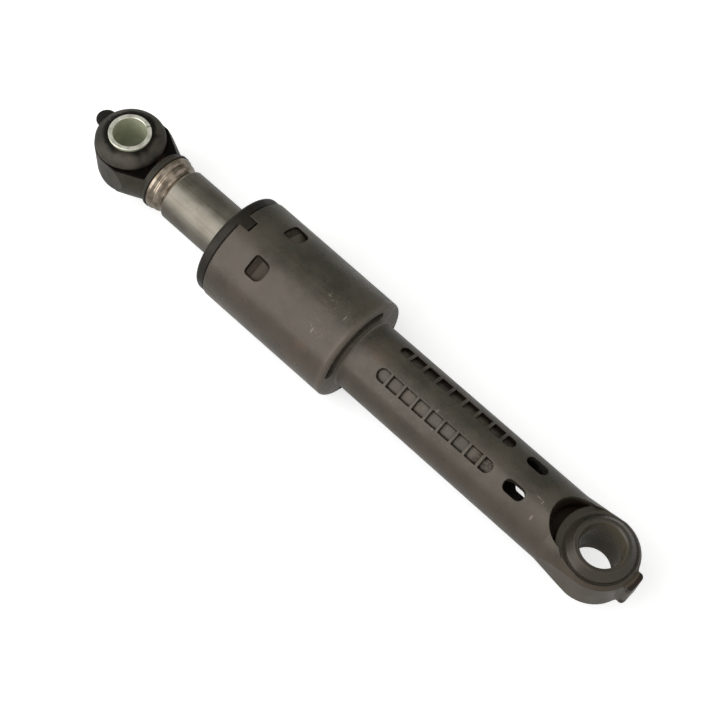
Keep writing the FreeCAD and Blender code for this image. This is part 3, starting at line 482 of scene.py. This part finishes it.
gloss = tube.soft(tube.calc("ADD", tube.times(cloud, 0.6), tube.times(ground, 0.4)),
                  0.35, 0.65, 0.34, 0.46)
tube.use("Roughness", tube.calc("SUBTRACT", gloss, tube.times(neck, 0.19)))
rolled = tube.times(neck, tube.noise(0.9 * MM, 4.0, stretch=(1, 2, 2), shift=9.0))
tube.bump([(drawn, 0.006 * MM), (ground, 0.002 * MM), (rolled, 0.10 * MM)])
tube.put_on(["rod_tube"])

# %% [markdown]
# ## The bush sleeve
# A short sleeve rolled from plated strip. Its end faces are bare bright metal, because the bolt's
# washer rubs them, while the inner wall keeps a dull olive plating. Two materials would need the
# faces sorted by hand. One material with a mask of the height does the same on the whole piece.

# %% Sleeve finish
HALF_SLEEVE = 10.75 * MM
sleeve = Finish("plated_sleeve")
end_face = sleeve.soft(sleeve.calc("ABSOLUTE", sleeve.z),
                       HALF_SLEEVE - 0.25 * MM, HALF_SLEEVE - 0.09 * MM)
patch = sleeve.soft(sleeve.noise(2.2 * MM, 5.0, shift=2.0), 0.35, 0.65)
plating = sleeve.mix(patch, tint(166, 169, 142), tint(177, 180, 154))
bright = sleeve.mix(patch, tint(222, 220, 210), tint(186, 184, 172))
sleeve.use("Base Color", sleeve.mix(end_face, plating, bright))
sleeve.use("Metallic", sleeve.soft(end_face, 0.2, 0.8, 0.0, 1.0))
sleeve.use("Roughness", sleeve.mix(end_face, (0.62, 0.62, 0.62), (0.36, 0.36, 0.36)))
lines = sleeve.noise(0.12 * MM, 3.0, stretch=(1, 1, 20), shift=5.0)
sleeve.bump([(lines, 0.003 * MM)])
sleeve.put_on(["bush_sleeve"])

# %% [markdown]
# ## A helper for turned pieces
# Rubber rings are round about an axis, so they are made as on a lathe: a few vertices draw the
# section, `bmesh.ops.spin` turns it all the way round and merges the last copy into the first.
# A ready torus or tube would need its profile pushed into shape afterwards.
# The section's corners are rounded before the spin with the bevel operator, which is cheaper
# than bevelling the finished ring. Spin can turn a shape inside out, so the normals are worked
# out again at the end.

# %% Helper for turned pieces
def section(mesh, points, radius, place):
    """A closed outline with rounded corners. place turns (out, along) into a point."""
    corners = [mesh.verts.new(place(out, along)) for out, along in points]
    for start, end in zip(corners, corners[1:] + corners[:1]):
        mesh.edges.new((start, end))
    bmesh.ops.bevel(mesh, geom=mesh.verts[:], offset=radius, offset_type="OFFSET",
                    segments=3, profile=0.5, affect="VERTICES", material=-1)


def turned(points, radius, axis, centre=(0, 0, 0), steps=96, angle=2 * math.pi):
    """A ring turned from its section about an axis through centre. Less than a full turn
    leaves two open ends, which get a face each."""
    mesh = bmesh.new()
    middle = Vector(centre)
    if axis == "X":
        section(mesh, points, radius, lambda out, along: (along, 0, out))
    else:
        section(mesh, points, radius, lambda out, along: middle + Vector((out, 0, along)))
    full = angle == 2 * math.pi
    bmesh.ops.spin(mesh, geom=mesh.verts[:] + mesh.edges[:], angle=angle, steps=steps,
                   use_merge=full, cent=middle,
                   axis=(1, 0, 0) if axis == "X" else (0, 0, 1))
    if not full:
        rims = [edge for edge in mesh.edges if edge.is_boundary]
        bmesh.ops.holes_fill(mesh, edges=rims, sides=0)
    bmesh.ops.remove_doubles(mesh, verts=mesh.verts[:], dist=0.001 * MM)
    bmesh.ops.recalc_face_normals(mesh, faces=mesh.faces[:])
    print("turned about", axis, "into", len(mesh.faces), "faces")
    return mesh


def place_piece(name, mesh, finish, body, stands_for):
    """Makes the object of a finished mesh, hangs it on its body and hides the frame piece that it
    stands for.
    """
    data = bpy.data.meshes.new(name)
    for face in mesh.faces:
        face.smooth = True
    mesh.to_mesh(data)
    mesh.free()
    data.set_sharp_from_angle(angle=math.radians(40))
    data.materials.append(finish.material)
    piece = bpy.data.objects.new(name, data)
    bpy.context.scene.collection.objects.link(piece)
    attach(piece, body)
    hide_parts(stands_for)
    print(name, "stands for", stands_for, "with", len(data.polygons), "faces")


# %% [markdown]
# ## Rubber
# Rubber is dark and dull, but never even. A pale bloom settles on it in patches, and moulding
# leaves a fine skin. Oil from the sleeve has crept into the rubber round it, so the dome is
# darkest beside the sleeve: a mask of the distance from the eye's own axis, made uneven by noise.
# One side of the dome gets painted shade, the side towards the neck a painted patch of light, and
# the nub at the far end is nearly black.

# %% Rubber finish
rubber = Finish("bush_rubber_black", IOR=1.5, Specular_Tint=(1.0, 0.94, 0.86, 1.0))
patch = rubber.noise(3.4 * MM, 5.0, shift=1.5, rough=0.6)
dust = rubber.noise(0.3 * MM, 3.0, shift=6.0)
rubber.colour = rubber.mix(rubber.soft(patch, 0.36, 0.66), tint(42, 40, 35), tint(64, 60, 53))
rubber.paint(rubber.soft(dust, 0.6, 0.8, 0.0, 0.3), tint(84, 78, 68))
reach = rubber.calc("ADD", rubber.distance((1, 1, 0), (EYE_SPACING, 0, 0)),
                    rubber.soft(patch, 0.3, 0.7, 0.0, 0.9 * MM))
oil = rubber.soft(reach, 9.9 * MM, 8.0 * MM, 0.0, 0.95)
rubber.paint(oil, tint(14, 13, 9))
# Painted shade on one side of the dome.
shade = rubber.near(mm(199.8, 6.4, 8.2), mm(6, 6, 5))
rubber.paint(rubber.times(shade, 0.6), tint(22, 22, 19))
# Painted light: a lighter patch on the dome's side towards the neck.
lit_patch = rubber.near(mm(187.6, 6.6, 8.6), mm(6, 4, 3))
rubber.paint(rubber.times(lit_patch, 0.5), tint(80, 74, 66))
tip = rubber.soft(rubber.x, EYE_SPACING + 8.5 * MM, EYE_SPACING + 11.6 * MM, 0.0, 0.75)
rubber.paint(tip, tint(20, 20, 17))
normal, edge = rubber.edges(0.3 * MM)
rubber.paint(rubber.times(edge, 0.25), tint(66, 62, 55))
rubber.use("Base Color", rubber.colour)
rubber.use("Specular IOR Level",
           rubber.soft(rubber.calc("ADD", oil, tip), 0.0, 0.9, 0.26, 0.08))
rubber.use("Roughness", rubber.soft(patch, 0.35, 0.65, 0.4, 0.62))
rubber.bump([(patch, 0.05 * MM), (dust, 0.01 * MM)], normal)
print("rubber finish ready")

# %% [markdown]
# ## The rubber bush
# The bush is pushed through the upper eye and swells into a domed flange on each side. The dome
# is what one sees first, so its section is drawn with twelve points instead of a plain arc: it
# rises steeply from the sleeve and falls away softly. The other half is the same list mirrored.
# A small nub stands on each flange, away from the neck: it shows the fitter which way round the
# bush goes. It is a short cylinder, sunk into the flange as rubber that was moulded in one.

# %% Rubber bush
NUB_RADIUS = 3.4 * MM
NUB_HEIGHT = 1.0 * MM
dome = [(6.85, 9.85), (7.3, 10.1), (8.0, 9.98), (8.8, 9.66), (9.5, 9.25), (10.2, 8.75),
        (10.8, 8.1), (11.2, 7.35), (11.3, 6.7), (11.28, 6.3), (11.0, 6.07), (9.25, 6.06)]
outline = dome + [(out, -along) for out, along in dome[::-1]]
bush = turned([mm(*corner) for corner in outline], 0.12 * MM, "Z", (EYE_SPACING, 0, 0))
for side in (1, -1):
    seat = Matrix.Translation((EYE_SPACING + 11.0 * MM, 0, side * 6.55 * MM))
    nub = bmesh.ops.create_cone(bush, cap_ends=True, segments=48, radius1=NUB_RADIUS,
                                radius2=NUB_RADIUS, depth=NUB_HEIGHT, matrix=seat)
    rims = [edge for edge in {edge for vert in nub["verts"] for edge in vert.link_edges}
            if abs(edge.verts[0].co.z - edge.verts[1].co.z) < 0.01 * MM]
    bmesh.ops.bevel(bush, geom=rims, offset=0.35 * MM, segments=3, profile=0.5,
                    affect="EDGES", material=-1)
place_piece("bush_moulding", bush, rubber, "rod", "rubber_bush")

# %% [markdown]
# ## The two buffers
# Inside the bell a rubber ring lies at each end of the friction unit's float. Both are plain
# rings with softly rounded corners and three raised ribs on the working face, which take the
# first touch. The ribs could be thin rings laid on top, but drawn in the section they come with
# the same spin and are one with the rubber. Each ring fills the box of the solid that it
# stands for, so it is measured from the frame.

# %% Buffers
BUFFER_BORE = 9.6 * MM
RIB_HEIGHT = 0.4 * MM
RIB_TOP = 0.5 * MM
RIB_FOOT = 0.9 * MM


def buffer(name, stands_for, back, face, radius):
    """A rubber ring with three ribs on the face that the friction unit meets."""
    sunk = face + (RIB_HEIGHT if back > face else -RIB_HEIGHT)
    step = (radius - BUFFER_BORE) / 3
    points = [(BUFFER_BORE, back), (radius, back)]
    for rib in (2.5, 1.5, 0.5):
        middle = BUFFER_BORE + rib * step
        points += [(middle + RIB_FOOT, sunk), (middle + RIB_TOP, face),
                   (middle - RIB_TOP, face), (middle - RIB_FOOT, sunk)]
    mesh = turned(points, 0.15 * MM, "X", steps=80)
    place_piece(name, mesh, rubber, "housing", stands_for)


lowest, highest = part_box("rear_buffer")
buffer("rear_buffer_ring", "rear_buffer", lowest.x, highest.x, highest.y)
lowest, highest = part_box("front_buffer")
buffer("front_buffer_ring", "front_buffer", highest.x, lowest.x, highest.y)

# %% [markdown]
# ## The friction lining
# This greased strip of foam is what damps the machine. It is wrapped once round the rod and its
# ends meet at a gap. It could be a flat strip bent by a modifier, but its section spun short of a
# full turn gives the same strip at once, with its soft corners, and a small turn afterwards puts
# the gap in its place. The pores are in the finish: a cell pattern, with grease smeared over it.

# %% Friction lining
BUTT_GAP = 0.07
LINING_BORE = 9.1 * MM
foam = Finish("greased_foam", Sheen_Weight=0.2)
cells = foam.node("ShaderNodeTexVoronoi", {"Vector": foam.place, "Scale": 1 / (0.8 * MM)})
pore = foam.soft(cells.outputs["Distance"], 0.15, 0.5)
blotch = foam.noise(5 * MM, 4.0, shift=2.0)
foam.colour = foam.mix(pore, tint(96, 88, 70), tint(176, 164, 134))
foam.paint(foam.soft(blotch, 0.45, 0.7, 0.0, 0.7), tint(112, 100, 72))
foam.use("Base Color", foam.colour)
foam.use("Roughness", foam.soft(blotch, 0.4, 0.7, 0.8, 0.35))
foam.bump([(pore, 0.15 * MM)])
lowest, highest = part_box("friction_lining")
skin = highest.y - 0.1 * MM
points = [(LINING_BORE, lowest.x), (skin, lowest.x), (skin, highest.x), (LINING_BORE, highest.x)]
strip = turned(points, 0.3 * MM, "X", steps=90, angle=2 * math.pi - BUTT_GAP)
bmesh.ops.rotate(strip, verts=strip.verts[:], cent=(0, 0, 0),
                 matrix=Matrix.Rotation(BUTT_GAP / 2, 3, "X"))
place_piece("lining_strip", strip, foam, "carrier", "friction_lining")

# %% [markdown]
# ## The floor
# The object lies on a plain pale floor, like a sheet of paper on a table. It is a real surface
# that catches the soft shadow. A brighter paper would do for a white ground, but it would also
# throw more light up at the dark plastic. So the paper glows a little, for the camera alone.

# %% Floor
FLOOR_HEIGHT = -(BELL_RADIUS + 0.05 * MM)
FLOOR_GLOW = 0.55
floor_mesh = bmesh.new()
bmesh.ops.create_grid(floor_mesh, x_segments=1, y_segments=1, size=2.0,
                      matrix=Matrix.Translation((0.1, 0, FLOOR_HEIGHT)))
floor_data = bpy.data.meshes.new("floor")
floor_mesh.to_mesh(floor_data)
floor_mesh.free()
floor = bpy.data.objects.new("floor", floor_data)
bpy.context.scene.collection.objects.link(floor)
paper = Finish("white_paper", Roughness=0.9, Base_Color=(0.72, 0.72, 0.72, 1))
camera_ray = paper.node("ShaderNodeLightPath").outputs["Is Camera Ray"]
glow = paper.node("ShaderNodeEmission", {"Color": (1, 1, 1, 1), "Strength": FLOOR_GLOW})
nothing = paper.node("ShaderNodeEmission", {"Color": (0, 0, 0, 1), "Strength": 0.0})
lit = paper.node("ShaderNodeMixShader", {0: camera_ray, 1: nothing.outputs[0],
                                         2: glow.outputs[0]})
both = paper.node("ShaderNodeAddShader", {0: paper.shader.outputs[0], 1: lit.outputs[0]})
paper.tree.links.new(both.outputs[0], paper.tree.nodes["Material Output"].inputs["Surface"])
floor_data.materials.append(paper.material)
print("floor at z = %.2f mm" % (FLOOR_HEIGHT / MM))

# %% [markdown]
# ## The world
# Round the object the world is white for everything that looks at it: the camera, and the rays
# that mirror in steel or pass through something clear. It sheds less light than it shows, so that
# a dark plastic stays dark. The Light Path node tells the kinds of ray apart.

# %% World
SHED_LIGHT = 0.55
world = bpy.data.worlds.new("studio")
bpy.context.scene.world = world
world.use_nodes = True
tree = world.node_tree
light_path = tree.nodes.new("ShaderNodeLightPath")
looked_at = light_path.outputs["Is Camera Ray"]
for ray in ("Is Glossy Ray", "Is Transmission Ray"):
    either = tree.nodes.new("ShaderNodeMath")
    either.operation = "MAXIMUM"
    tree.links.new(looked_at, either.inputs[0])
    tree.links.new(light_path.outputs[ray], either.inputs[1])
    looked_at = either.outputs[0]
shed = tree.nodes.new("ShaderNodeMapRange")
shed.inputs["To Min"].default_value = SHED_LIGHT
shed.inputs["To Max"].default_value = 1.0
tree.links.new(looked_at, shed.inputs["Value"])
tree.nodes["Background"].inputs["Color"].default_value = (1, 1, 1, 1)
tree.links.new(shed.outputs[0], tree.nodes["Background"].inputs["Strength"])
print("world strength 1 to look at, %.2f to shed" % SHED_LIGHT)

# %% [markdown]
# ## The lamp and the card
# One large soft lamp stands for a studio's soft box and gives the broad highlight along the bell.
# Several small lamps would light the object too, but each would leave its own hard streak on the
# steel. A grey card on the far side gives the steel a darker band to reflect. Only the object
# sees it, so it never stands in the picture. Both are turned to face the middle of the damper.

# %% Lamp and card
AIM = Vector((0.1, 0, 0))


def aimed(name, data, spot):
    """Puts a lamp or a card at a spot, turned to face the middle of the damper."""
    made = bpy.data.objects.new(name, data)
    bpy.context.scene.collection.objects.link(made)
    made.location = spot
    made.rotation_euler = (AIM - Vector(spot)).to_track_quat("-Z", "Y").to_euler()
    return made


def lamp(name, spot, length, width, power):
    """A soft lamp with a large oblong face."""
    data = bpy.data.lights.new(name, "AREA")
    data.shape = "RECTANGLE"
    data.size = length
    data.size_y = width
    data.energy = power
    aimed(name, data, spot)
    print(name, "of %.1f W" % power)


def grey_card(name, spot, length, width):
    """A grey card that only the object sees."""
    mesh = bmesh.new()
    bmesh.ops.create_grid(mesh, x_segments=1, y_segments=1, size=0.5,
                          matrix=Matrix.Diagonal((length, width, 1, 1)))
    data = bpy.data.meshes.new(name)
    mesh.to_mesh(data)
    mesh.free()
    grey = Finish("card_grey", Roughness=1.0, Specular_IOR_Level=0.0,
                  Base_Color=(0.56, 0.57, 0.52, 1))
    data.materials.append(grey.material)
    card = aimed(name, data, spot)
    card.visible_camera = False
    print(name, "of %.2f by %.2f m" % (length, width))


lamp("key", (0.347, 0.474, 0.452), length=0.6, width=1.05, power=4.6)
grey_card("far_card", (0.277, -0.348, 0.313), length=0.62, width=0.72)

# %% [markdown]
# ## Camera
# The photograph's view was worked out from the object's own circles and lines. The matrix holds
# the camera's right, up and back directions in its columns. The lens is long, as for a product
# photograph, so the eyes at both ends keep nearly the same scale. A camera turned by three
# angles would do too, but the directions say at once what lies to the right and what is up.

# %% Camera
SENSOR = 36.0
FRAME_PIXELS = 720
FOCAL_PIXELS = 1496.54
CAMERA_PLACE = (-0.0297, 0.1656, 0.4)
lens = bpy.data.cameras.new("camera")
lens.sensor_width = SENSOR
lens.lens = SENSOR * FOCAL_PIXELS / FRAME_PIXELS
lens.clip_start = 0.01
camera = bpy.data.objects.new("camera", lens)
bpy.context.scene.collection.objects.link(camera)
right = Vector((-0.7236, -0.6873, 0.0637))
back = Vector((-0.2677, 0.3645, 0.8919)).normalized()
right = (right - right.dot(back) * back).normalized()
up = back.cross(right)
turn = Matrix((right, up, back)).transposed().to_4x4()
camera.matrix_world = Matrix.Translation(CAMERA_PLACE) @ turn
bpy.context.scene.camera = camera
bpy.context.scene.view_settings.view_transform = "Standard"
print("lens %.1f mm on a %.0f mm sensor" % (lens.lens, SENSOR))
